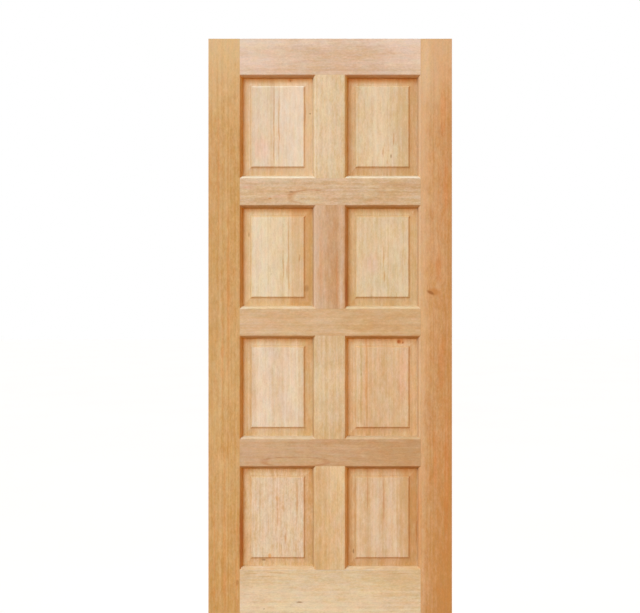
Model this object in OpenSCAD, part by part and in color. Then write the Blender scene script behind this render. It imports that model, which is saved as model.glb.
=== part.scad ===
// Door leaf with eight raised and fielded panels, framed from coped and dowelled timber.
// The origin is the middle of the bottom edge. +Z is up and the outside face looks along -Y.

/* [Leaf] */
// Width of the leaf, mm
leaf_w = 813; // [762:1:926]
// Height of the leaf, mm
leaf_h = 2032; // [1981:1:2134]
// Thickness of the stiles and rails, mm
leaf_t = 40; // [38:1:45]
// Radius worked on the outer edges, mm
edge_ease = 1; // [0.5:0.25:2]

/* [Stiles, rails and muntins] */
// Face width of each stile, from its outer edge to the opening, mm
stile_face = 104.5; // [90:0.5:115]
// Face width of the top rail, mm
top_face = 120; // [100:1:140]
// Face width of each cross rail, mm
cross_face = 89.5; // [80:0.5:110]
// Face width of the muntins, the short uprights between the panels, mm
muntin_face = 97; // [80:1:120]
// Height of each panel opening, mm. The bottom rail takes the height that is left
opening_h = 346; // [300:1:350]

/* [Moulded edges] */
// How far the moulded edge stands into the opening, mm
stick_w = 9.5; // [8:0.5:11]
// How far it falls from the face to its toe, mm
stick_d = 11.5; // [9:0.5:11.5]
// Radius of its crown, mm. The larger, the closer it comes to a plain splay
crown_r = 28; // [20:1:60]
// Width of the groove that holds the panels, mm
groove_w = 12; // [10:0.5:14]
// Depth of that groove, mm
groove_d = 12; // [10:0.5:14]

/* [Panels] */
// Thickness of each panel at its raised field, mm
field_t = 26; // [24:0.5:30]
// Distance from the edge of the opening to the middle of the shoulder, mm
field_margin = 38; // [30:0.5:50]
// Width of the sloped shoulder around the field, mm
shoulder_w = 5; // [2:0.5:6]
// Height of the shoulder, mm
shoulder_d = 3.5; // [2:0.25:4]
// Room left for the panel to swell at the bottom of each groove, mm
panel_room = 2; // [1:0.5:3]
// Play of the panel's tongue in the groove's width, mm
tongue_play = 0.4; // [0.2:0.1:0.6]

/* [Dowels] */
// Diameter of the dowels between rails and stiles, mm
rail_dowel_d = 16; // [12:1:16]
// Length of the dowels between rails and stiles, mm
rail_dowel_l = 125; // [100:1:130]
// Diameter of the dowels between muntins and rails, mm
muntin_dowel_d = 10; // [8:1:12]
// Length of the dowels between muntins and rails, mm
muntin_dowel_l = 68; // [50:1:74]

/* [Hidden] */
LEFT = -1;
RIGHT = 1;
ROWS = 4;                    // rows of panels, row 1 at the top
tenon_gap = 0.5;             // left between a stub tenon's end and the groove's bottom
dowel_play = 0.2;            // a hole is this much wider than its dowel
dowel_end_room = 2;          // a hole is this much deeper than its dowel at each end
dowel_taper = 2;             // length of the taper at each end of a dowel
flutes = 10;                 // glue flutes round each dowel
flute_share = 0.045;         // radius of a flute as a share of the dowel's diameter
pair_spread = 0.56;          // two dowels stand this share of the rail's face apart
trio_spread = 0.64;          // and the outer two of three this share
muntin_spread = 0.6;
over = 1;                    // overrun of cutting shapes
$fn = 96;

half_w = leaf_w / 2;
half_t = leaf_t / 2;
opening_w = (leaf_w - muntin_face) / 2 - stile_face;
row_pitch = opening_h + cross_face;
groove_floor = stick_w - groove_d;      // measured from the face's edge into the opening
stile_edge = half_w - stile_face;       // where the stiles' faces stop
tenon_end = stile_edge - groove_floor - tenon_gap;

stile_tan = [0.84, 0.66, 0.45];
rail_tan = [0.85, 0.70, 0.55];
muntin_tan = [0.88, 0.76, 0.60];
panel_tan = [0.90, 0.79, 0.66];
dowel_tan = [0.80, 0.68, 0.50];

// Heights of the openings and of the rails' faces. Rail 0 is the top rail, rail ROWS the bottom one.
function opening_top(row) = leaf_h - top_face - (row - 1) * row_pitch;
function opening_base(row) = opening_top(row) - opening_h;
function rail_top(i) = i == 0 ? leaf_h : opening_base(i);
function rail_base(i) = i == ROWS ? 0 : opening_top(i + 1);
function rail_middle(i) = (rail_top(i) + rail_base(i)) / 2;
function rail_face(i) = rail_top(i) - rail_base(i);

// Heights of the dowels at the end of a rail: three in the deep bottom rail, two in the others
function rail_dowel_heights(i) =
    let (spread = (i == ROWS ? trio_spread : pair_spread) * rail_face(i) / 2)
    [for (s = i == ROWS ? [-1, 0, 1] : [-1, 1]) rail_middle(i) + s * spread];

// Centre of an opening across the leaf
function opening_x(side) = side * (muntin_face + opening_w) / 2;

// ---- sections, drawn with the member's width along x and its thickness along y ----

// A rectangle with its four corners rounded to the outer easing
module eased_rectangle(low, high) {
    r = edge_ease;
    translate([low + r, -half_t]) square([high - low - 2 * r, leaf_t]);
    translate([low, r - half_t]) square([high - low, leaf_t - 2 * r]);
    for (x = [low + r, high - r], y = [r - half_t, half_t - r])
        translate([x, y]) circle(r);
}

// The moulded edge, front and back alike: a crowned splay from the face down to its toe, then a
// flat side. The crown is an arc from [0, half_t] to [stick_w, half_t - stick_d]
module moulded_edge() {
    chord = norm([stick_w, stick_d]);
    outward = [stick_d, stick_w] / chord;
    rise = sqrt(crown_r * crown_r - chord * chord / 4);
    centre = [stick_w, 2 * half_t - stick_d] / 2 - rise * outward;
    for (s = [0, 1])
        mirror([0, s]) intersection() {
            translate([-over, -over]) square([over + stick_w, over + half_t]);
            translate(centre) circle(crown_r);
        }
}

module groove() {
    translate([groove_floor, -groove_w / 2]) square([groove_d + over, groove_w]);
}

// A member whose face runs from low to high, moulded and grooved along the edges named
module member_section(low, high, moulded_low, moulded_high) {
    difference() {
        union() {
            translate([low, -half_t]) square([high - low, leaf_t]);
            if (moulded_low)
                translate([low, 0]) mirror([1, 0]) moulded_edge();
            if (moulded_high)
                translate([high, 0]) moulded_edge();
        }
        if (moulded_low)
            translate([low, 0]) mirror([1, 0]) groove();
        if (moulded_high)
            translate([high, 0]) groove();
    }
}

// A panel's section: the field, its shoulders, the bevels and the tongues at both ends
module panel_section(opening) {
    tongue_y = (groove_w - tongue_play) / 2;
    field_y = field_t / 2;
    edge = opening / 2;
    bevel_foot = edge - stick_w + over;                // just inside the groove
    shoulder_x = edge - field_margin;
    tip = edge - groove_floor - panel_room;
    corner = [
        [tip, tongue_y],
        [bevel_foot, tongue_y],
        [shoulder_x + shoulder_w / 2, field_y - shoulder_d],
        [shoulder_x - shoulder_w / 2, field_y]
    ];
    last = len(corner) - 1;
    polygon([
        for (p = corner) p,
        for (i = [last : -1 : 0]) [-corner[i][0], corner[i][1]],
        for (p = corner) -p,
        for (i = [last : -1 : 0]) [corner[i][0], -corner[i][1]]
    ]);
}

// ---- solids ----

// Turns a section so that its width stands along +Z, and runs it along X about the middle
module run_across(length) {
    rotate([0, -90, 0])
        linear_extrude(height = length, center = true) children();
}

// The outside of the leaf, with its edges eased all round
module leaf_block() {
    intersection() {
        linear_extrude(height = leaf_h) eased_rectangle(-half_w, half_w);
        run_across(leaf_w) eased_rectangle(0, leaf_h);
    }
}

module stile_blank(side) {
    mirror([side == LEFT ? 0 : 1, 0, 0])
        linear_extrude(height = leaf_h)
            member_section(-half_w, -stile_edge, false, true);
}

// A rail from tenon end to tenon end, its ends not yet coped
module rail_blank(i) {
    run_across(2 * tenon_end)
        member_section(rail_base(i), rail_top(i), i < ROWS, i > 0);
}

module muntin_blank(row) {
    base = opening_base(row) + groove_floor + tenon_gap;
    top = opening_top(row) - groove_floor - tenon_gap;
    translate([0, 0, base])
        linear_extrude(height = top - base)
            member_section(-muntin_face / 2, muntin_face / 2, true, true);
}

// Places its children along X on the dowel axes of one end of a rail, centred on the joint
module at_rail_joint(i, side) {
    for (z = rail_dowel_heights(i))
        translate([side * (stile_edge - stick_w / 2), 0, z]) rotate([0, 90, 0]) children();
}

// The same for a muntin: its two ends, centred on the joints with the rails
module at_muntin_joints(row) {
    for (z = [opening_base(row) + stick_w / 2, opening_top(row) - stick_w / 2], s = [-1, 1])
        translate([s * muntin_spread * muntin_face / 2, 0, z]) children();
}

module dowel_hole(d, l) {
    cylinder(h = l + 2 * dowel_end_room, d = d + dowel_play, center = true);
}

// A fluted dowel with tapered ends
module dowel(d, l) {
    flute_r = flute_share * d;
    root_r = d / 2 - flute_r;
    linear_extrude(height = l - 2 * dowel_taper, center = true)
        difference() {
            circle(d / 2);
            for (i = [0 : flutes - 1])
                rotate(i * 360 / flutes) translate([d / 2, 0]) circle(flute_r);
        }
    for (s = [0, 1])
        mirror([0, 0, s]) translate([0, 0, l / 2 - dowel_taper])
            cylinder(h = dowel_taper, r1 = root_r, r2 = root_r - dowel_taper / 2);
}

// ---- sub-parts ----

// A full-height stile, moulded and grooved along its inner edge and bored for every rail
module stile(side) {
    color(stile_tan)
        difference() {
            intersection() {
                stile_blank(side);
                leaf_block();
            }
            for (i = [0 : ROWS])
                at_rail_joint(i, side) dowel_hole(rail_dowel_d, rail_dowel_l);
        }
}

// A rail, coped over both stiles' moulded edges with a stub tenon in each groove
module rail(i) {
    color(rail_tan)
        difference() {
            intersection() {
                rail_blank(i);
                leaf_block();
            }
            for (side = [LEFT, RIGHT]) {
                stile_blank(side);
                at_rail_joint(i, side) dowel_hole(rail_dowel_d, rail_dowel_l);
            }
            if (i > 0)
                at_muntin_joints(i) dowel_hole(muntin_dowel_d, muntin_dowel_l);
            if (i < ROWS)
                at_muntin_joints(i + 1) dowel_hole(muntin_dowel_d, muntin_dowel_l);
        }
}

// A muntin, coped over the rails above and below it
module muntin(row) {
    color(muntin_tan)
        difference() {
            muntin_blank(row);
            rail_blank(row - 1);
            rail_blank(row);
            at_muntin_joints(row) dowel_hole(muntin_dowel_d, muntin_dowel_l);
        }
}

// A panel: two crossed runs of the same section meet in mitred bevels
module panel(row, side) {
    middle_z = (opening_top(row) + opening_base(row)) / 2;
    color(panel_tan)
        translate([opening_x(side), 0, middle_z])
            intersection() {
                linear_extrude(height = opening_h + groove_d, center = true)
                    panel_section(opening_w);
                run_across(opening_w + groove_d) panel_section(opening_h);
            }
}

module rail_dowels(i) {
    color(dowel_tan)
        for (side = [LEFT, RIGHT])
            at_rail_joint(i, side) dowel(rail_dowel_d, rail_dowel_l);
}

module muntin_dowels(row) {
    color(dowel_tan)
        at_muntin_joints(row) dowel(muntin_dowel_d, muntin_dowel_l);
}

stile(LEFT);  // hinge_stile
stile(RIGHT);  // lock_stile
rail(0);  // top_rail
rail(1);  // upper_rail
rail(2);  // lock_rail
rail(3);  // lower_rail
rail(4);  // bottom_rail
rail_dowels(0);  // top_rail_dowels
rail_dowels(1);  // upper_rail_dowels
rail_dowels(2);  // lock_rail_dowels
rail_dowels(3);  // lower_rail_dowels
rail_dowels(4);  // bottom_rail_dowels
for (row = [1 : ROWS]) {
    muntin(row);
    muntin_dowels(row);
    panel(row, LEFT);
    panel(row, RIGHT);
}
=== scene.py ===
import math

import bpy
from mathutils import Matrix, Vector


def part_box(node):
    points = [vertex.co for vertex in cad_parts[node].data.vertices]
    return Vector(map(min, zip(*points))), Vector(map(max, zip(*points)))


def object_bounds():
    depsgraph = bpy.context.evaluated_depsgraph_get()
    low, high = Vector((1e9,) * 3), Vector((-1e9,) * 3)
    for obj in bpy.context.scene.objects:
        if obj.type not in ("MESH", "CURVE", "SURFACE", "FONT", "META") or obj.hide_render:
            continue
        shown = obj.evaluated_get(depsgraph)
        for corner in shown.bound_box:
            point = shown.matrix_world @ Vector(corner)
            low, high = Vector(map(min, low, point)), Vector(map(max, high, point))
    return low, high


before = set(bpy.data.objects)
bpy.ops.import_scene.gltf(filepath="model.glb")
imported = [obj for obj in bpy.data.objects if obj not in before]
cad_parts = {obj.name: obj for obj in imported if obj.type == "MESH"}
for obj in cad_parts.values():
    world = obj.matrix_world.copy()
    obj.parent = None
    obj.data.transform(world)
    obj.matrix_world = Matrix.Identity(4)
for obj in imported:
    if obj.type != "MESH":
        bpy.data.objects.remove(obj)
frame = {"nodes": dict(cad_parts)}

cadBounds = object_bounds()
nodes = frame["nodes"]
print("loaded", len(nodes), "pieces")


class Wire:
    # one output socket; a sum on wires adds its Math nodes to the tree they belong to
    def __init__(self, tree, socket):
        self.tree = tree
        self.socket = socket

    def maths(self, operation, *values):
        return self.tree.add("ShaderNodeMath", {"operation": operation}, values)

    def output(self, name):
        return Wire(self.tree, self.socket.node.outputs[name])

    def __add__(self, other):
        return self.maths("ADD", self, other)

    def __sub__(self, other):
        return self.maths("SUBTRACT", self, other)

    def __rsub__(self, other):
        return self.maths("SUBTRACT", other, self)

    def __mul__(self, other):
        return self.maths("MULTIPLY", self, other)

    def __truediv__(self, other):
        return self.maths("DIVIDE", self, other)

    def __rtruediv__(self, other):
        return self.maths("DIVIDE", other, self)

    def __pow__(self, other):
        return self.maths("POWER", self, other)

    def __rpow__(self, other):
        return self.maths("POWER", other, self)

    def __neg__(self):
        return self.maths("MULTIPLY", -1, self)

    def __abs__(self):
        return self.maths("ABSOLUTE", self)

    __radd__ = __add__
    __rmul__ = __mul__


class Tree:
    # the nodes of one material, or of the world
    def __init__(self, owner):
        owner.use_nodes = True
        self.made = owner.node_tree
        self.made.nodes.clear()

    def add(self, kind, settings=None, inputs=(), output=0):
        node = self.made.nodes.new(kind)
        for name, value in (settings or {}).items():
            if name == "stops":
                fillRamp(node.color_ramp, value)
            else:
                setattr(node, name, value)
        pairs = inputs.items() if isinstance(inputs, dict) else enumerate(inputs)
        for key, value in pairs:
            if isinstance(value, Wire):
                self.made.links.new(value.socket, node.inputs[key])
            else:
                node.inputs[key].default_value = value
        return Wire(self, node.outputs[output]) if node.outputs else None

    def vector(self, x, y, z):
        return self.add("ShaderNodeCombineXYZ", inputs=(x, y, z))

    def mix(self, first, second, share, blend="MIX"):
        settings = {"data_type": "RGBA", "blend_type": blend}
        return self.add("ShaderNodeMix", settings, {0: share, 6: first, 7: second}, 2)

    def tint(self, wood, colour, share):
        return self.mix(wood, colour, share, "MULTIPLY")

    def noise(self, place, detail, roughness=0.5):
        inputs = {"Vector": place, "Scale": 1.0, "Detail": detail, "Roughness": roughness}
        return self.add("ShaderNodeTexNoise", inputs=inputs)

    def step(self, value, start, end):
        # 0 at start and before it, 1 at end and beyond it, smooth between
        settings = {"interpolation_type": "SMOOTHSTEP"}
        return self.add("ShaderNodeMapRange", settings, {0: value, 1: start, 2: end})

    def larger(self, first, second):
        return self.add("ShaderNodeMath", {"operation": "MAXIMUM"}, (first, second))

    def curve(self, value, stops):
        # a curve over 0 to 1, through the listed stops
        grey = [(place, (level, level, level, 1)) for place, level in stops]
        return self.add("ShaderNodeValToRGB", {"stops": grey}, (value,))


def fillRamp(ramp, stops):
    ramp.interpolation = "EASE"
    ramp.elements[0].position, ramp.elements[0].color = stops[0]
    ramp.elements[1].position, ramp.elements[1].color = stops[-1]
    for position, colour in stops[1:-1]:
        ramp.elements.new(position).color = colour


def seen(red, green, blue):
    # a colour as a screen shows it, 0 to 255, turned into the light it stands for
    def light(value):
        value = min(max(value / 255, 0), 1)
        return value / 12.92 if value <= 0.04045 else ((value + 0.055) / 1.055) ** 2.4

    return (light(red), light(green), light(blue), 1.0)


view = {
    "distance": 3.2,         # from the lens to the outside face
    "eye": (-0.034, 1.138),  # across and up
    "wide": 2.1357,          # how much the lens takes in across, at the outside face
    "sensor": 36.0,
}


def makeCamera():
    camera = bpy.data.objects.new("camera", bpy.data.cameras.new("camera"))
    bpy.context.scene.collection.objects.link(camera)
    outsideFace = cadBounds[0][1]
    eyeAcross, eyeUp = view["eye"]
    camera.location = (eyeAcross, outsideFace - view["distance"], eyeUp)
    camera.rotation_euler = (math.radians(90), 0, 0)
    camera.data.sensor_width = view["sensor"]
    camera.data.lens = view["sensor"] * view["distance"] / view["wide"]
    bpy.context.scene.camera = camera


studio = {
    # where each lamp stands, its power, how wide it looks in degrees, and its colour
    "leafLamps": {
        "key": ((-0.8, -0.6, 0.6), 3.55, 45, (0.73, 1.0, 1.15)),
        "top": ((0.0, -0.3, 1.0), 1.55, 40, (0.55, 1.0, 1.17)),
        "side": ((0.6, -1.0, -0.12), 1.3, 62, (1.0, 0.5, 0.04)),
        "back": ((0.9, 1.0, 0.5), 3.5, 45, (0.88, 1.0, 1.12)),
    },
    "floorLamps": {
        "floorWash": ((0.0, 0.0, 1.0), 3.0, 10, (1.0, 1.0, 1.0)),
    },
    # light that the room sends back: pale from upper left, warm from lower right
    "roomPale": (0.10, 0.08, 0.07, 1),
    "roomWarm": (0.14, 0.08, 0.035, 1),
    "warmSide": (0.45, -0.9),
    "roomBlend": 0.7,
    "backdrop": (1, 1, 1, 1),
    "floorSize": 60.0,
    "floorDrop": 0.0005,     # the floor lies this far under the leaf's foot
    "floorShades": ((0.95, 0.95, 0.95, 1), (0.98, 0.98, 0.98, 1)),
}


def makeLamps(lamps, receivers):
    for name, (comesFrom, power, wide, colour) in lamps.items():
        lamp = bpy.data.objects.new(name, bpy.data.lights.new(name, "SUN"))
        bpy.context.scene.collection.objects.link(lamp)
        lamp.rotation_euler = Vector(comesFrom).to_track_quat("Z", "Y").to_euler()
        lamp.data.energy = power
        lamp.data.color = colour
        lamp.data.angle = math.radians(wide)
        group = bpy.data.collections.new(name + "Lights")
        for piece in receivers:
            group.objects.link(piece)
        lamp.light_linking.receiver_collection = group


def makeFloor():
    half = studio["floorSize"] / 2
    mesh = bpy.data.meshes.new("floor")
    corners = [(-half, -half, 0), (half, -half, 0), (half, half, 0), (-half, half, 0)]
    mesh.from_pydata(corners, [], [(0, 1, 2, 3)])
    floor = bpy.data.objects.new("floor", mesh)
    bpy.context.scene.collection.objects.link(floor)
    floor.location.z = -studio["floorDrop"]
    # so wide and pale a floor would light the leaf from below
    floor.visible_diffuse = False
    floor.visible_glossy = False
    floor.visible_shadow = False
    material = bpy.data.materials.new("paleFloor")
    tree = Tree(material)
    cloud = tree.noise(tree.add("ShaderNodeTexCoord").output("Object"), detail=3.0)
    colour = tree.mix(*studio["floorShades"], cloud)
    surface = tree.add("ShaderNodeBsdfDiffuse", inputs={"Color": colour})
    tree.add("ShaderNodeOutputMaterial", inputs={"Surface": surface})
    mesh.materials.append(material)
    return floor


def makeWorld():
    world = bpy.data.worlds.new("studio")
    bpy.context.scene.world = world
    tree = Tree(world)
    facing = tree.add("ShaderNodeTexCoord").output("Generated")
    split = tree.add("ShaderNodeSeparateXYZ", inputs=(facing,))
    warmX, warmZ = studio["warmSide"]
    toWarm = split.output("X") * warmX + split.output("Z") * warmZ
    warmth = tree.step(toWarm, -studio["roomBlend"], studio["roomBlend"])
    room = tree.mix(studio["roomPale"], studio["roomWarm"], warmth)
    straight = tree.add("ShaderNodeLightPath").output("Is Camera Ray")
    light = tree.mix(room, studio["backdrop"], straight)
    glow = tree.add("ShaderNodeBackground", inputs={"Color": light, "Strength": 1.0})
    tree.add("ShaderNodeOutputWorld", inputs={"Surface": glow})


# what each board has of its own, painted shade and light too; places in metres in the leaf's
# frame
# colour: its middle tone as a screen shows it; rim: that of a raised panel's slopes
# edge: a tint for the leaf's outer edge; blush: from gold at 0 to pink at 1
# range: how far the tone runs; figure: how strongly the rings and grain show
# threads: how strongly dark lines show; pith: the tree's middle, across and deep
# shade, topEdge: how far painted shade darkens a raised panel's top slope and top shoulder
# moulded: (side, how far painted shade darkens its moulded edge, how far it darkens that edge's
# inner corner)
# along, across: the tone's drift, (place from 0 to 1, tone from 0 pale to 1 deep)
# arch: (x, z, wide, tall, where its line ends in widths); knots: (x, z, wide, tall)
# stains: (kind, x, z, wide, tall, tilt in degrees)
boards = {
    "hinge_stile": {
        "colour": (211, 162, 106), "edge": (1.24, 0.97, 0.93, 1), "range": 1.5,
        "pith": (-0.16, 0.05), "moulded": ((1, 0.3, 0.0),),
        "along": (
            (0, 0.66), (0.35, 0.52), (0.5, 0.52), (0.7, 0.6), (0.85, 0.55), (0.93, 0.3),
            (1, 0.0),
        ),
        "stains": (
            ("ember", -0.2975, 0.385, 0.008, 0.15), ("stripe", -0.3525, 0.35, 0.006, 0.35),
            ("stripe", -0.386, 0.3, 0.004, 0.3), ("stripe", -0.36, 0.95, 0.005, 0.2),
            ("stripe", -0.312, 0.3, 0.004, 0.25), ("stripe", -0.34, 1.2, 0.007, 0.35),
            ("stripe", -0.372, 1.55, 0.005, 0.25), ("smudge", -0.3095, 0.217, 0.005, 0.012),
        ),
    },
    "lock_stile": {
        "colour": (208, 153, 102), "range": 1.5, "blush": 0.65, "pith": (0.13, 0.06),
        "moulded": ((-1, 0.45, 0.7),), "knots": ((0.3455, 1.1865, 0.023, 0.014),),
        "along": ((0, 0.72), (0.5, 0.5), (0.85, 0.42), (1, 0.0)),
        "across": ((0, 0.05), (0.2, 0.3), (0.4, 0.55), (1, 0.72)),
        "stains": (
            ("stripe", 0.385, 1.55, 0.01, 0.14), ("stripe", 0.372, 0.95, 0.013, 0.1),
            ("stripe", 0.388, 0.55, 0.009, 0.25), ("stripe", 0.362, 1.27, 0.012, 0.05),
            ("amber", 0.2985, 0.43, 0.008, 0.22), ("stripe", 0.35, 0.62, 0.008, 0.12),
            ("stripe", 0.377, 1.8, 0.012, 0.12), ("cream", 0.3185, 1.95, 0.017, 0.13),
        ),
    },
    "top_rail": {
        "colour": (222, 187, 163), "range": 1.3, "figure": 1.1, "pith": (0.02, 0.1),
        "moulded": ((-1, 0.3, 0.0),),
        "along": ((0, 0.25), (0.45, 0.58), (0.6, 0.58), (1, 0.3)),
        "across": ((0, 0.6), (1, 0.42)),
    },
    "upper_rail": {
        "colour": (212, 173, 137), "range": 1.4, "figure": 1.4, "pith": (-0.06, 0.05),
        "moulded": ((-1, 0.25, 0.0), (1, 0.0, 0.5)),
        "arch": (-0.03, 1.5037, 0.104, 0.024, 0.05),
        "along": ((0, 0.42), (0.5, 0.45), (1, 0.52)),
        "across": ((0, 0.52), (0.7, 0.52), (1, 0.25)),
        "stains": (
            ("fleck", -0.1305, 1.5204, 0.008, 0.0022),
            ("thread", -0.138, 1.5195, 0.018, 0.0016, 6),
            ("thread", -0.0407, 1.5254, 0.014, 0.0015),
            ("flame", -0.2009, 1.4987, 0.006, 0.003), ("pink", -0.168, 1.506, 0.03, 0.008),
            ("pink", -0.277, 1.537, 0.022, 0.006), ("pale", -0.263, 1.5037, 0.036, 0.01),
        ),
    },
    "lock_rail": {
        "colour": (213, 171, 130), "range": 1.3, "pith": (0.05, 0.08),
        "moulded": ((-1, 0.2, 0.0), (1, 0.1, 0.4)),
        "along": ((0, 0.36), (0.4, 0.47), (0.85, 0.62), (1, 0.58)),
    },
    "lower_rail": {
        "colour": (203, 158, 119), "range": 1.3, "pith": (-0.03, 0.07),
        "moulded": ((1, 0.05, 0.2),), "arch": (-0.1175, 0.62, 0.107, 0.015, 1.5),
        "along": ((0, 0.35), (0.5, 0.5), (1, 0.68)),
    },
    "bottom_rail": {
        "colour": (223, 190, 154), "range": 1.3, "figure": 1.1, "pith": (0.12, 0.12),
        "moulded": ((1, 1.0, 0.0),),
        "along": ((0, 0.42), (0.5, 0.45), (1, 0.6)),
        "across": ((0, 0.3), (0.5, 0.35), (0.8, 0.55), (1, 0.65)),
        "stains": (
            # the first mark, a wide pale band along the top moulding, is painted light
            ("ash", 0.0, 0.2645, 0.45, 0.009), ("thread", -0.262, 0.247, 0.034, 0.0018, 3),
            ("thread", -0.175, 0.249, 0.04, 0.0016, -2),
            ("thread", -0.215, 0.238, 0.03, 0.0016), ("thread", 0.225, 0.246, 0.045, 0.0018, 2),
            ("fleck", -0.103, 0.1512, 0.0125, 0.003), ("fleck", -0.2209, 0.1288, 0.003, 0.002),
        ),
    },
    "muntin_1": {
        "colour": (225, 192, 156), "range": 1.6, "pith": (0.06, 0.08),
        "moulded": ((-1, 0.65, 0.7),),
        "along": ((0, 0.66), (0.2, 0.52), (1, 0.52)),
        "across": ((0, 0.42), (0.85, 0.5), (1, 0.85)),
        "stains": (("cream", 0.053, 1.74, 0.006, 0.3),),
    },
    "muntin_2": {
        "colour": (207, 163, 125), "range": 1.5, "blush": 0.9, "pith": (0.01, 0.06),
        "moulded": ((-1, 0.55, 1.0), (1, 0.1, 0.0)),
        "across": ((0, 0.15), (0.2, 0.3), (0.45, 0.58), (0.65, 0.68), (0.8, 0.45), (1, 0.78)),
        "stains": (
            ("ember", 0.055, 1.185, 0.007, 0.055), ("cream", 0.036, 1.2, 0.005, 0.08),
            ("stripe", 0.024, 1.24, 0.005, 0.1), ("stripe", -0.03, 1.3, 0.008, 0.12),
        ),
    },
    "muntin_3": {
        "colour": (219, 182, 142), "range": 1.5, "pith": (-0.09, 0.05),
        "moulded": ((-1, 0.6, 1.0), (1, 0.35, 0.0)),
        "along": ((0, 0.65), (0.25, 0.5), (0.6, 0.36), (0.75, 0.5), (1, 0.55)),
    },
    "muntin_4": {
        "colour": (220, 177, 132), "range": 1.5, "pith": (0.14, 0.05),
        "moulded": ((-1, 0.6, 0.9), (1, 0.45, 0.0)),
        "along": ((0, 0.58), (0.5, 0.52), (1, 0.38)),
        "across": ((0, 0.62), (1, 0.3)),
    },
    "panel_1_left": {
        "colour": (230, 202, 174), "rim": (222, 182, 138), "range": 1.5, "figure": 0.75,
        "blush": 0.8, "threads": 0.4, "shade": 1.0, "topEdge": 0.0,
        "across": ((0, 0.6), (0.2, 0.52), (0.35, 0.5), (0.42, 0.66), (0.48, 0.46), (1, 0.34)),
        "stains": (
            ("fleck", -0.0674, 1.784, 0.0025, 0.0035), ("flame", -0.133, 1.896, 0.008, 0.006),
            ("fleck", -0.1325, 1.8935, 0.003, 0.003), ("thread", -0.084, 1.784, 0.0025, 0.04),
            ("thread", -0.1876, 1.742, 0.0032, 0.16), ("thread", -0.1709, 1.74, 0.0022, 0.14),
            ("pink", -0.232, 1.667, 0.026, 0.05),
        ),
    },
    "panel_1_right": {
        "colour": (223, 190, 154), "rim": (212, 168, 124), "range": 1.4, "threads": 0.6,
        "shade": 1.0, "topEdge": 0.6,
        "across": (
            (0, 0.62), (0.2, 0.56), (0.4, 0.32), (0.5, 0.34), (0.62, 0.5), (0.8, 0.75),
            (1, 0.45),
        ),
        "stains": (
            # the first mark, a wide band along the top slope, is a painted shadow under the rail
            ("glow", 0.175, 1.902, 0.17, 0.018), ("fleck", 0.2029, 1.6405, 0.0022, 0.008),
            ("thread", 0.19, 1.622, 0.0024, 0.012), ("thread", 0.178, 1.655, 0.0022, 0.02),
            ("thread", 0.213, 1.7, 0.0024, 0.03),
        ),
    },
    "panel_2_left": {
        "colour": (227, 197, 164), "rim": (216, 172, 124), "range": 1.3, "blush": 0.3,
        "threads": 0.8, "shade": 0.45,
        "across": ((0, 0.4), (0.3, 0.3), (0.66, 0.46), (0.7, 0.74), (1, 0.8)),
        "stains": (
            ("smudge", -0.08, 1.199, 0.009, 0.014), ("fleck", -0.1976, 1.247, 0.0016, 0.0022),
            ("thread", -0.1558, 1.27, 0.002, 0.045), ("thread", -0.1442, 1.262, 0.002, 0.04),
            ("thread", -0.1392, 1.3, 0.0026, 0.15), ("thread", -0.1025, 1.3, 0.003, 0.014),
            ("glow", -0.136, 1.207, 0.004, 0.016), ("smudge", -0.2726, 1.379, 0.004, 0.009),
            ("blush", -0.106, 1.3, 0.036, 0.42),
        ),
    },
    "panel_2_right": {
        "colour": (222, 191, 155), "rim": (213, 171, 123), "range": 1.3, "threads": 0.7,
        "shade": 0.15,
        "across": ((0, 0.85), (0.12, 0.52), (0.3, 0.44), (0.85, 0.48), (1, 0.28)),
        "stains": (
            ("thread", 0.1795, 1.3, 0.0026, 0.04), ("thread", 0.1812, 1.24, 0.002, 0.022),
            ("pink", 0.14, 1.28, 0.03, 0.04),
        ),
    },
    "panel_3_left": {
        "colour": (227, 196, 167), "rim": (220, 179, 133), "range": 1.4, "blush": 0.6,
        "threads": 0.5, "shade": 0.35,
        "across": (
            (0, 0.38), (0.15, 0.62), (0.27, 0.3), (0.5, 0.5), (0.75, 0.42), (0.86, 0.7),
            (1, 0.6),
        ),
    },
    "panel_3_right": {
        "colour": (218, 175, 134), "rim": (216, 170, 123), "range": 1.5, "threads": 0.6,
        "shade": 0.45,
        "along": ((0, 0.57), (1, 0.42)),
        "across": ((0, 0.34), (0.3, 0.5), (0.6, 0.45), (0.8, 0.4), (1, 0.36)),
        "stains": (
            ("flame", 0.235, 1.0215, 0.015, 0.011), ("char", 0.23, 1.0205, 0.006, 0.0075),
            ("char", 0.244, 1.017, 0.004, 0.005), ("cream", 0.097, 0.89, 0.02, 0.24),
            ("sage", 0.1035, 0.89, 0.0034, 0.18), ("smudge", 0.1045, 0.9113, 0.0028, 0.007),
            ("glow", 0.1215, 0.9, 0.005, 0.15), ("pink", 0.24, 0.9, 0.02, 0.1),
        ),
    },
    "panel_4_left": {
        "colour": (225, 190, 158), "rim": (219, 176, 130), "range": 1.5, "figure": 1.3,
        "threads": 1.0, "shade": 0.0,
        "across": ((0, 0.6), (0.12, 0.42), (0.5, 0.44), (0.84, 0.6), (1, 0.8)),
        "stains": (
            ("fleck", -0.2224, 0.2905, 0.007, 0.0045), ("flame", -0.2025, 0.304, 0.0055, 0.01),
            ("pale", -0.196, 0.526, 0.006, 0.01), ("glow", -0.1775, 0.496, 0.009, 0.01),
            ("thread", -0.175, 0.443, 0.0024, 0.05), ("thread", -0.149, 0.3625, 0.0024, 0.02),
            ("thread", -0.1108, 0.49, 0.0024, 0.08), ("thread", -0.2643, 0.5026, 0.0018, 0.014),
            ("pale", -0.154, 0.42, 0.01, 0.04),
        ),
    },
    "panel_4_right": {
        "colour": (219, 179, 142), "rim": (210, 162, 114), "range": 1.5, "figure": 0.95,
        "threads": 0.5, "shade": 0.0,
        "across": (
            (0, 0.75), (0.2, 0.42), (0.3, 0.55), (0.4, 0.32), (0.5, 0.55), (0.6, 0.4),
            (0.85, 0.8), (1, 0.52),
        ),
        "stains": (
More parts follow.
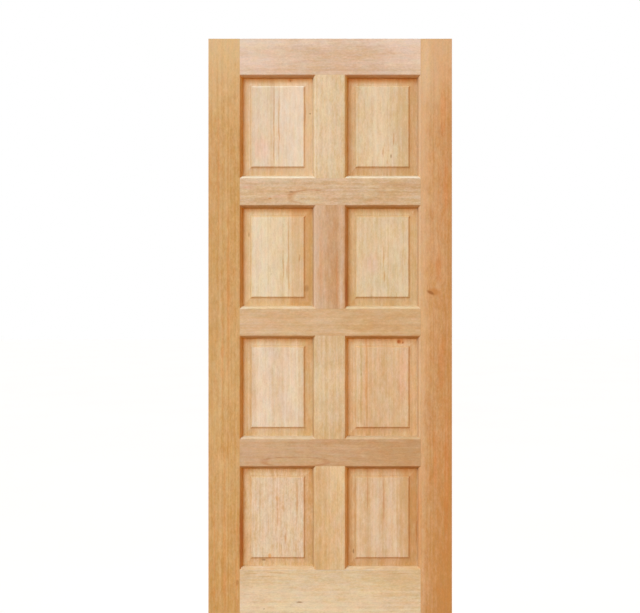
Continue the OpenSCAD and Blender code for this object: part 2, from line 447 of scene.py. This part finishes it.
            ("fleck", 0.0782, 0.319, 0.003, 0.0095), ("thread", 0.077, 0.292, 0.0018, 0.008),
            ("thread", 0.1245, 0.52, 0.0026, 0.1), ("thread", 0.1795, 0.5, 0.0028, 0.09),
            ("pale", 0.106, 0.45, 0.008, 0.14), ("pale", 0.216, 0.42, 0.009, 0.13),
            ("thread", 0.29, 0.39, 0.0024, 0.05),
        ),
    },
}

# the dowels, and any board with no entry above
plainLook = {"colour": (214, 184, 144), "pith": (0.3, 0.1)}

# what a mark does to the timber's colour, and how strongly
stainKinds = {
    "fleck": ((0.32, 0.14, 0.05, 1), "MIX", 0.75),
    "char": ((0.62, 0.33, 0.18, 1), "MULTIPLY", 0.9),
    "thread": ((0.86, 0.66, 0.50, 1), "MULTIPLY", 0.8),
    # a warm darkening: small marks, and on panel_1_right's top slope a painted shadow
    "glow": ((1.0, 0.86, 0.68, 1), "MULTIPLY", 0.9),
    "flame": ((0.96, 0.70, 0.44, 1), "MULTIPLY", 0.9),
    "sage": ((0.84, 0.80, 0.62, 1), "MULTIPLY", 0.8),
    "amber": ((1.0, 0.84, 0.68, 1), "MULTIPLY", 1.0),
    # a pale cool band of painted light
    "ash": ((0.97, 1.03, 1.22, 1), "MULTIPLY", 1.0),
    "smudge": ((0.72, 0.62, 0.50, 1), "MULTIPLY", 0.8),
    "ember": ((0.84, 0.68, 0.66, 1), "MULTIPLY", 1.0),
    "blush": ((1.02, 0.95, 0.93, 1), "MULTIPLY", 1.0),
    "stripe": ((1.04, 0.93, 0.86, 1), "MULTIPLY", 1.0),
    "cream": ((1.05, 1.13, 1.22, 1), "MULTIPLY", 1.0),
    "pink": ((1.03, 0.93, 0.97, 1), "MULTIPLY", 0.9),
    "pale": ((1.02, 1.07, 1.12, 1), "MULTIPLY", 0.9),
}

# the grain's layers: size across and along it in metres, and how strong
grain = {
    "cloud": (0.050, 0.130, 0.14),
    "mottle": (0.020, 0.045, 0.17),
    "streak": (0.009, 0.040, 0.16),
    "dash": (0.005, 0.012, 0.18),
    "speck": (0.0026, 0.006, 0.17),
    "thread": (0.0036, 0.140, 0.11),
    "fibre": (0.0010, 0.030, 0.06),
}

timber = {
    "ringWidth": 0.009,
    "ringTone": 0.45,
    "pith": (0.2, 0.06),             # the tree's middle, for a board that doesn't name its own
    "wander": (0.003, 0.0006),       # how far the rings stray, in long and in short waves
    "knotReach": (2.2, 5),           # a knot bends the grain this many times its own size away
    "knotBend": 0.012,
    "greyGrain": ("speck", "fibre"), # layers that shade the timber without changing its hue
    "fineShade": 0.6,
    # how much lighter and darker one board runs, in screen levels of red, green and blue
    "range": (8, 13, 19),
    "roughness": 0.6,
    "poreRoughness": 0.12,
    "streakSheen": 0.04,
    "gloss": 0.3,
    "bump": 0.4,
    "bumpDepth": 0.0004,
    "bumpShares": (0.3, 0.2, 0.8),   # fibres and streaks stand up, pores lie deep
    "noise": (3.0, 0.55),            # a grain layer's detail and roughness
    "noiseSpread": 3,
    "seedShift": 3.7,                # so that no two boards are cut from one place
    "ringShift": 5.3,
    "spotEdge": (1.25, 0.35),
}


class Board:
    # a piece's x, y and z in the leaf, its across and along from its own middle, and its grain
    def __init__(self, tree, name, look, seed):
        self.tree = tree
        self.look = look
        self.seed = seed
        low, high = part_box(name)
        middle = (low + high) / 2
        half = (high - low) / 2
        place = tree.add("ShaderNodeTexCoord").output("Object")
        split = tree.add("ShaderNodeSeparateXYZ", inputs=(place,))
        self.x, self.y, self.z = (split.output(axis) for axis in "XYZ")
        fromX, fromZ = self.x - middle.x, self.z - middle.z
        if half.x > half.z and "rail" in name:
            self.across, self.along = fromZ, fromX
            self.halfAcross, self.halfAlong = half.z, half.x
        else:
            self.across, self.along = fromX, fromZ
            self.halfAcross, self.halfAlong = half.x, half.z

    def layer(self, across, kind, salt):
        # noise drawn out along the grain, about -1 to 1
        wide, long, _ = grain[kind]
        shift = self.seed * timber["seedShift"] + salt
        place = self.tree.vector(across / wide + shift, self.y / wide,
                                 self.along / long + shift * 0.5)
        return (self.tree.noise(place, *timber["noise"]) - 0.5) * timber["noiseSpread"]

    def spot(self, x, z, wide, tall, tilt=0.0, bend=0.0):
        # 1 in the middle of an oval, 0 outside it, soft between
        fromX, fromZ = self.x - x + bend, self.z - z
        if tilt:
            turn, rise = math.cos(math.radians(tilt)), math.sin(math.radians(tilt))
            fromX, fromZ = fromX * turn + fromZ * rise, fromZ * turn - fromX * rise
        far = ((fromX / wide) ** 2 + (fromZ / tall) ** 2) ** 0.5
        return self.tree.step(far, *timber["spotEdge"])

    def grow(self):
        # growth rings about the tree's middle, bent by wander and by knots, and the grain
        tree, look = self.tree, self.look
        figure = look.get("figure", 1.0)
        longWave, shortWave = timber["wander"]
        bent = self.across + self.layer(self.across, "cloud", salt=0.2) * longWave
        bent = bent + self.layer(self.across, "mottle", salt=0.4) * shortWave
        reachX, reachZ = timber["knotReach"]
        for x, z, wide, tall in look.get("knots", ()):
            bulge = self.spot(x, z, wide * reachX, tall * reachZ)
            bent = bent + bulge * bulge * timber["knotBend"]
        pithAcross, pithDeep = look.get("pith", timber["pith"])
        radius = ((bent - pithAcross) ** 2 + (self.y - pithDeep) ** 2) ** 0.5
        place = radius / timber["ringWidth"] + self.seed * timber["ringShift"]
        inputs = {"W": place, "Scale": 1.0, "Detail": 2.0, "Roughness": 0.6}
        self.rings = tree.add("ShaderNodeTexNoise", {"noise_dimensions": "1D"}, inputs)

        tone = (self.rings - 0.5) * timber["ringTone"] * figure
        self.fine = 0
        self.layers = {}
        for number, (kind, (_, _, strength)) in enumerate(grain.items()):
            self.layers[kind] = self.layer(bent, kind, salt=number * 1.7)
            share = self.layers[kind] * (strength * figure)
            if kind in timber["greyGrain"]:
                self.fine = self.fine + share
            else:
                tone = tone + share
        acrossShare = self.across / (2 * self.halfAcross) + 0.5
        alongShare = self.along / (2 * self.halfAlong) + 0.5
        for share, key in ((acrossShare, "across"), (alongShare, "along")):
            tone = tone + (tree.curve(share, look[key]) if key in look else 0.5)
        self.tone = tree.step(tone - 0.5, 0.0, 1.0)

    def coloured(self, colour):
        # a colour run lighter and darker by the board's tone
        spread = [level * self.look.get("range", 1.0) for level in timber["range"]]
        pale = seen(*(level + more for level, more in zip(colour, spread)))
        deep = seen(*(level - less for level, less in zip(colour, spread)))
        return self.tree.mix(pale, deep, self.tone)


raisedPanel = {
    "rim": 0.041,                         # from a raised panel's edge to its field
    # how the rim's colour comes in, by the distance outward from the field
    "blend": ((0.0010, 0.0060, 0.7), (0.006, 0.026, 0.3)),
    "shoulder": (0.86, 0.70, 0.52, 1),    # painted shade on the step round the field
    "shoulderStart": (-0.0004, 0.0004),
    "shoulderEnd": (0.0085, 0.0042),
    "shoulderTint": (0.22, 0.68),         # painted shade on every side, and more added on the lit sides
    "litStart": (-0.001, 0.0),
    "leftSlopeShadow": (0.99, 0.93, 0.87, 1),   # painted shadow on the slope on the hinge side, towards the moulding
    "leftReach": (0.004, 0.012),
    "topSlopeShadow": (0.86, 0.68, 0.45, 1),    # painted shadow on the upper slope, under a rail
    "topReach": (0.004, 0.032),
    "bottomSlopeLight": (1.03, 1.10, 1.14, 1), # painted light on the lower slope, growing away from the field
    "bottomReach": (0.008, 0.032),
}


def shapeRim(board, wood):
    # the rim colour round a raised panel's field, with painted shade, shadow and light on its
    # slopes and shoulder
    tree, look = board.tree, board.look
    fieldAcross = board.halfAcross - raisedPanel["rim"]
    fieldAlong = board.halfAlong - raisedPanel["rim"]
    leftOver = -board.across - fieldAcross
    topOver = board.along - fieldAlong
    bottomOver = -board.along - fieldAlong
    over = tree.larger(abs(board.across) - fieldAcross, abs(board.along) - fieldAlong)
    onRim = 0
    for start, end, share in raisedPanel["blend"]:
        onRim = onRim + tree.step(over, start, end) * share
    wood = tree.mix(wood, board.coloured(look["rim"]), onRim)
    # painted shade along the shoulder, more on the left and top sides
    shoulder = tree.step(over, *raisedPanel["shoulderStart"])
    shoulder = shoulder * tree.step(over, *raisedPanel["shoulderEnd"])
    leftLit = tree.step(leftOver, *raisedPanel["litStart"])
    topLit = tree.step(topOver, *raisedPanel["litStart"]) * look.get("topEdge", 1.0)
    everySide, litSides = raisedPanel["shoulderTint"]
    shoulderShadeShare = shoulder * (tree.larger(leftLit, topLit) * litSides + everySide)
    wood = tree.tint(wood, raisedPanel["shoulder"], shoulderShadeShare)
    # painted shadow on the left slope, by the moulding
    leftShadowShare = onRim * tree.step(leftOver, *raisedPanel["leftReach"])
    wood = tree.tint(wood, raisedPanel["leftSlopeShadow"], leftShadowShare)
    # painted shadow on the top slope, under the rail
    topShadowShare = tree.step(topOver, *raisedPanel["topReach"]) * look["shade"]
    wood = tree.tint(wood, raisedPanel["topSlopeShadow"], topShadowShare)
    # painted light on the bottom slope
    bottomLightShare = tree.step(bottomOver, *raisedPanel["bottomReach"])
    return tree.tint(wood, raisedPanel["bottomSlopeLight"], bottomLightShare)


hues = {
    # two tints that a board drifts between, and a shift that gives each its own noise
    "warmth": ((0.965, 1.0, 1.05, 1), (1.035, 1.0, 0.95, 1), 5.1),
    "blush": ((0.99, 1.02, 0.98, 1), (1.01, 0.98, 1.02, 1), 7.3),
    "drift": (("cloud", 0.7), ("mottle", 0.9), ("streak", 0.7)),  # what carries it
    "reach": 0.9,
}


def driftHue(board, wood):
    tree = board.tree
    lean = {"warmth": 0, "blush": board.look.get("blush", 0.5) - 0.5}
    for key, drift in lean.items():
        first, second, salt = hues[key]
        for kind, share in hues["drift"]:
            drift = drift + board.layer(board.across, kind, salt) * share
        colour = tree.mix(first, second, tree.step(drift, -hues["reach"], hues["reach"]))
        wood = tree.tint(wood, colour, 1.0)
    return wood


moulding = {
    "width": 0.0095,                      # how far it stands out from its member's face
    "start": (-0.0005, 0.0010),
    "cornerShadowStart": (0.0042, 0.0072),
    "mouldingShade": (0.90, 0.69, 0.51, 1),      # painted shade on the moulded edge
    "corner": (0.76, 0.63, 0.50, 1),      # painted shadow on the last of it, where the panel goes in
}


# painted shade on moulded edges, and painted shadow at their inner corners by the panel
def shadeMouldings(board, wood):
    for side, mouldingShade, corner in board.look.get("moulded", ()):
        over = board.across * side - (board.halfAcross - moulding["width"])
        start = board.tree.step(over, *moulding["start"])
        wood = board.tree.tint(wood, moulding["mouldingShade"], start * mouldingShade)
        start = board.tree.step(over, *moulding["cornerShadowStart"])
        wood = board.tree.tint(wood, moulding["corner"], start * corner)
    return wood


pores = {
    "size": (0.55, 1.1),                  # where in its layer a pore or a thread begins
    "colour": (0.55, 0.36, 0.22, 1),
    "amount": 0.3,
    "threadColour": (0.86, 0.66, 0.50, 1),
    "threadAmount": 0.7,
}


def openPores(board, wood):
    tree, layers = board.tree, board.layers
    broken = layers["dash"] * 0.5
    board.pores = tree.step(layers["fibre"] + broken, *pores["size"])
    wood = tree.tint(wood, pores["colour"], board.pores * pores["amount"])
    threads = tree.step(layers["thread"] + broken, *pores["size"])
    threads = threads * board.look.get("threads", 0.5)
    return tree.tint(wood, pores["threadColour"], threads * pores["threadAmount"])


stain = {
    "outside": (0.002, -0.002),           # stains show on the outside face only
    "stray": 0.003,                       # how raggedly their edges run
}


def stainBoard(board, wood):
    outside = board.tree.step(board.y, *stain["outside"])
    bend = board.layers["streak"] * stain["stray"]
    for kind, *place in board.look.get("stains", ()):
        colour, blend, amount = stainKinds[kind]
        share = board.spot(*place, bend=bend) * outside * amount
        wood = board.tree.mix(wood, colour, share, blend)
    return wood


knot = {
    "stray": 0.003,
    "amount": 0.8,
    "halo": (197, 128, 68),               # pale brown, as wide and tall as the knot
    "haloTilt": -8,
    "heart": (158, 94, 46),               # a darker crescent in it
    "heartPlace": (-0.45, -0.15),         # in widths and heights of the knot
    "heartSize": (0.62, 0.42),
    "heartTilt": -30,
}


def knotBoard(board, wood):
    ragged = board.layers["mottle"] * knot["stray"]
    shiftX, shiftZ = knot["heartPlace"]
    heartWide, heartTall = knot["heartSize"]
    for x, z, wide, tall in board.look.get("knots", ()):
        halo = board.spot(x, z, wide, tall, knot["haloTilt"], ragged)
        wood = board.tree.mix(wood, seen(*knot["halo"]), halo * knot["amount"])
        heart = board.spot(x + wide * shiftX, z + tall * shiftZ, wide * heartWide,
                           tall * heartTall, knot["heartTilt"], ragged)
        wood = board.tree.mix(wood, seen(*knot["heart"]), heart * knot["amount"])
    return wood


arch = {
    "squareness": 2.6,
    "stray": 0.05,
    "fade": 0.25,                         # in widths of the arch
    "line": (0.84, 0.62, 0.48, 1),
    "lineEdge": (0.45, 0.02),
    "lineAmount": 0.8,
    "lineBroken": (-0.9, 0.5),
    "inside": (1.02, 1.05, 1.06, 1),
    "insideEdge": (1.0, 0.4),
}


def archBoard(board, wood):
    # the flat oval that a growth ring draws on a rail
    tree, layers = board.tree, board.layers
    x, z, wide, tall, reach = board.look["arch"]
    fromX, fromZ = (board.x - x) / wide, (board.z - z) / tall
    oval = abs(fromX) ** arch["squareness"] + abs(fromZ) ** arch["squareness"]
    oval = oval + layers["mottle"] * arch["stray"]
    reached = tree.step(fromX, reach + arch["fade"], reach - arch["fade"])
    unbroken = tree.step(layers["cloud"] + layers["mottle"] * 0.7, *arch["lineBroken"])
    line = reached * tree.step(abs(oval - 1), *arch["lineEdge"]) * unbroken
    wood = tree.tint(wood, arch["line"], line * arch["lineAmount"])
    return tree.tint(wood, arch["inside"], reached * tree.step(oval, *arch["insideEdge"]))


sawn = {
    "depth": (0.0006, 0.0001),            # how near the end counts as sawn
    "colour": (0.70, 0.58, 0.46, 1),
    "rings": (0.45, 0.7),                 # everywhere, and added along the rings
    "poreWidth": 0.0012,
    "poreSize": (0.55, 0.70),
    "poreAmount": 0.5,
}


def sawEnds(board, wood):
    # sawn ends are darker, with the rings and open pores showing
    tree = board.tree
    start, end = (board.halfAlong - depth for depth in sawn["depth"])
    atEnd = tree.step(abs(board.along), start, end)
    place = tree.vector(board.across / sawn["poreWidth"], board.y / sawn["poreWidth"], board.seed)
    holes = tree.step(tree.noise(place, 1.0), *sawn["poreSize"])
    plain, ringed = sawn["rings"]
    wood = tree.tint(wood, sawn["colour"], atEnd * (board.rings * ringed + plain))
    return tree.tint(wood, pores["colour"], atEnd * holes * sawn["poreAmount"])


wearAndShade = {
    "rubbed": (1.07, 1.08, 1.08, 1),      # the leaf's outer arrises
    "rubbedSide": (0.0022, 0.0004),
    "rubbedFace": (0.002, 0.0003),
    "rubbedPatches": (-0.3, 0.6),
    "grubby": (0.86, 0.82, 0.76, 1),      # the leaf's foot
    "grubbyHeight": (0.030, 0.004),
    "grubbyStray": 0.010,
    "grubbyPatches": (-0.6, 0.6),
    "edgeDepth": (0.0010, 0.0002),        # a board's own edge tint
    "leafTopShade": (0.76, 0.60, 0.47, 1),       # painted shade on the top edge of the leaf
    "leafTopShadeDepth": (0.0006, 0.0001),
    "jointLine": (0.80, 0.70, 0.60, 1),   # the hair line along a coped shoulder
    "jointPlace": 0.002,
    "jointWidth": (0.0007, 0.0002),
}


def near(tree, value, limit, depths):
    # 0 well inside a limit, 1 at it
    start, end = (limit - depth for depth in depths)
    return tree.step(value, start, end)


def wearAndShadeBoard(board, name, wood):
    tree, layers = board.tree, board.layers
    side, thick, tall = cadBounds[1]
    arris = near(tree, abs(board.x), side, wearAndShade["rubbedSide"])
    arris = arris * near(tree, abs(board.y), thick, wearAndShade["rubbedFace"])
    patches = layers["mottle"] + layers["streak"]
    rubbed = arris * tree.step(patches, *wearAndShade["rubbedPatches"])
    wood = tree.tint(wood, wearAndShade["rubbed"], rubbed)
    height = board.z + layers["mottle"] * wearAndShade["grubbyStray"]
    low = tree.step(height, *wearAndShade["grubbyHeight"])
    low = low * tree.step(layers["dash"], *wearAndShade["grubbyPatches"])
    wood = tree.tint(wood, wearAndShade["grubby"], low)
    if "edge" in board.look:
        onEdge = near(tree, abs(board.x), side, wearAndShade["edgeDepth"])
        wood = tree.tint(wood, board.look["edge"], onEdge)
    # painted shade on the top rail's top face
    if "rail" in name:
        wood = tree.tint(wood, wearAndShade["leafTopShade"], near(tree, board.z, tall, wearAndShade["leafTopShadeDepth"]))
    if "rail" in name or "muntin" in name:
        fromLine = abs(abs(board.along) - (board.halfAlong - wearAndShade["jointPlace"]))
        wood = tree.tint(wood, wearAndShade["jointLine"], tree.step(fromLine, *wearAndShade["jointWidth"]))
    return wood


def timberMaterial(name, look, seed):
    material = bpy.data.materials.new(name + "Timber")
    tree = Tree(material)
    board = Board(tree, name, look, seed)
    board.grow()
    wood = board.coloured(look["colour"])
    if "rim" in look:
        wood = shapeRim(board, wood)
    wood = tree.tint(wood, 1 - board.fine * timber["fineShade"], 1.0)
    wood = driftHue(board, wood)
    wood = shadeMouldings(board, wood)
    wood = openPores(board, wood)
    wood = stainBoard(board, wood)
    wood = knotBoard(board, wood)
    if "arch" in look:
        wood = archBoard(board, wood)
    wood = sawEnds(board, wood)
    wood = wearAndShadeBoard(board, name, wood)

    layers = board.layers
    fibreHigh, streakHigh, poreDeep = timber["bumpShares"]
    height = layers["fibre"] * fibreHigh + layers["streak"] * streakHigh
    height = height - board.pores * poreDeep
    bump = tree.add("ShaderNodeBump", inputs={
        "Strength": timber["bump"], "Distance": timber["bumpDepth"], "Height": height})
    rough = timber["roughness"] + board.pores * timber["poreRoughness"]
    rough = rough - layers["streak"] * timber["streakSheen"]
    surface = tree.add("ShaderNodeBsdfPrincipled", inputs={
        "Base Color": wood, "Roughness": rough, "Normal": bump,
        "Specular IOR Level": timber["gloss"]})
    tree.add("ShaderNodeOutputMaterial", inputs={"Surface": surface})
    return material


def finishTimber():
    for seed, name in enumerate(nodes, start=1):
        mesh = nodes[name].data
        mesh.materials.clear()
        mesh.materials.append(timberMaterial(name, boards.get(name, plainLook), seed))


makeCamera()
floor = makeFloor()
makeWorld()
makeLamps(studio["leafLamps"], nodes.values())
makeLamps(studio["floorLamps"], [floor])
print("camera and light ready")
finishTimber()
print("timber ready")

bpy.context.scene.view_settings.view_transform = "Standard"
